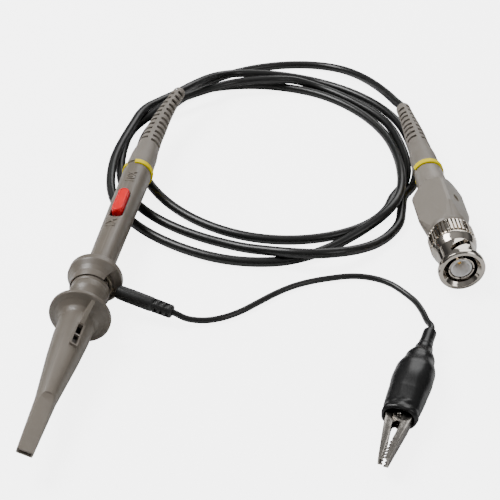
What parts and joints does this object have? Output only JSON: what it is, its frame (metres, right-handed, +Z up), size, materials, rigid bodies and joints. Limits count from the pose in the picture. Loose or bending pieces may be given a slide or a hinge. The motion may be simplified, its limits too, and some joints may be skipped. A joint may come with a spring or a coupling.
{
  "type": "oscilloscope probe",
  "caption": "Passive oscilloscope probe with retractable hook tip, finger guards, slide switch, ground lead and crocodile clip, coiled cable and bayonet plug with compensation box.",
  "frame": {"origin": "centre of the footprint on the surface the probe lies on", "axes": "+Z up from the surface, +Y along the probe axis from the hook tip towards the cable, +X to the side the cable coils and the plug lie on"},
  "size_m": [0.13, 0.2448, 0.0182],
  "materials": {
    "grey_plastic": "moulded satin",
    "grey_rubber": "soft matt vinyl",
    "black_plastic": "moulded",
    "black_vinyl": "smooth gloss vinyl",
    "black_rubber": "soft sheen",
    "steel": "drawn",
    "nickel": "nickel plated",
    "gold": "plated",
    "yellow_plastic": "moulded",
    "red_plastic": "moulded",
    "white_insulator": "turned",
    "circuit_board": "laminate",
    "resistor_body": "lacquered"
  },
  "bodies": {
    "probe_body": {"hook_carrier": "grey_plastic", "hook_wire": "steel", "hook_spring": "steel", "nose_insulator": "black_plastic", "contact_needle": "steel", "ground_barrel": "nickel", "barrel_shell": "grey_plastic", "marker_ring_probe": "yellow_plastic", "attenuator_board": "circuit_board", "input_resistor": "resistor_body", "strain_relief_probe": "grey_rubber", "signal_cable": "black_vinyl", "strain_relief_plug": "grey_rubber", "plug_contact_body": "nickel", "plug_insulator": "white_insulator", "plug_pin": "gold", "plug_gasket": "black_rubber", "coupling_spring_washer": "steel", "compensation_housing": "grey_plastic", "trimmer_capacitor": "resistor_body", "compensation_board": "circuit_board", "marker_ring_plug": "yellow_plastic"},
    "hook_sleeve": {"hook_sleeve": "grey_plastic"},
    "switch_slider": {"switch_knob": "red_plastic", "switch_wiper": "gold"},
    "ground_lead": {"ground_collar": "gold", "ground_lead_boot": "black_rubber", "ground_wire": "black_vinyl", "clip_boot": "black_rubber", "clip_jaw_fixed": "nickel", "clip_pivot_pin": "steel", "clip_spring": "steel"},
    "clip_jaw": {"clip_jaw_moving": "nickel"},
    "coupling": {"coupling_sleeve": "nickel"},
    "trimmer": {"trimmer_screw": "gold"}
  },
  "joints": [
    {"name": "hook_slide", "type": "slide", "parent": "probe_body", "child": "hook_sleeve", "axis": [0, 1, 0], "range_m": [0, 0.002]},
    {"name": "switch_slide", "type": "slide", "parent": "probe_body", "child": "switch_slider", "axis": [0, -1, 0], "range_m": [0, 0.002]},
    {"name": "ground_swivel", "type": "hinge", "parent": "probe_body", "child": "ground_lead", "pos_m": [-0.05134, -0.05112, 0.00911], "axis": [0, -1, 0], "range_deg": [0, 30]},
    {"name": "jaw_open", "type": "hinge", "parent": "ground_lead", "child": "clip_jaw", "pos_m": [0.04056, -0.09312, 0.00481], "axis": [0, 0, -1], "range_deg": [0, 22]},
    {"name": "coupling_turn", "type": "hinge", "parent": "probe_body", "child": "coupling", "pos_m": [0.05796, -0.02772, 0.00731], "axis": [-0.1992, 0.9792, 0.0384], "continuous": true},
    {"name": "trimmer_turn", "type": "hinge", "parent": "probe_body", "child": "trimmer", "pos_m": [0.05452, 0.00511, 0.01154], "axis": [0.7219, 0.1202, 0.6815], "continuous": true}
  ]
}
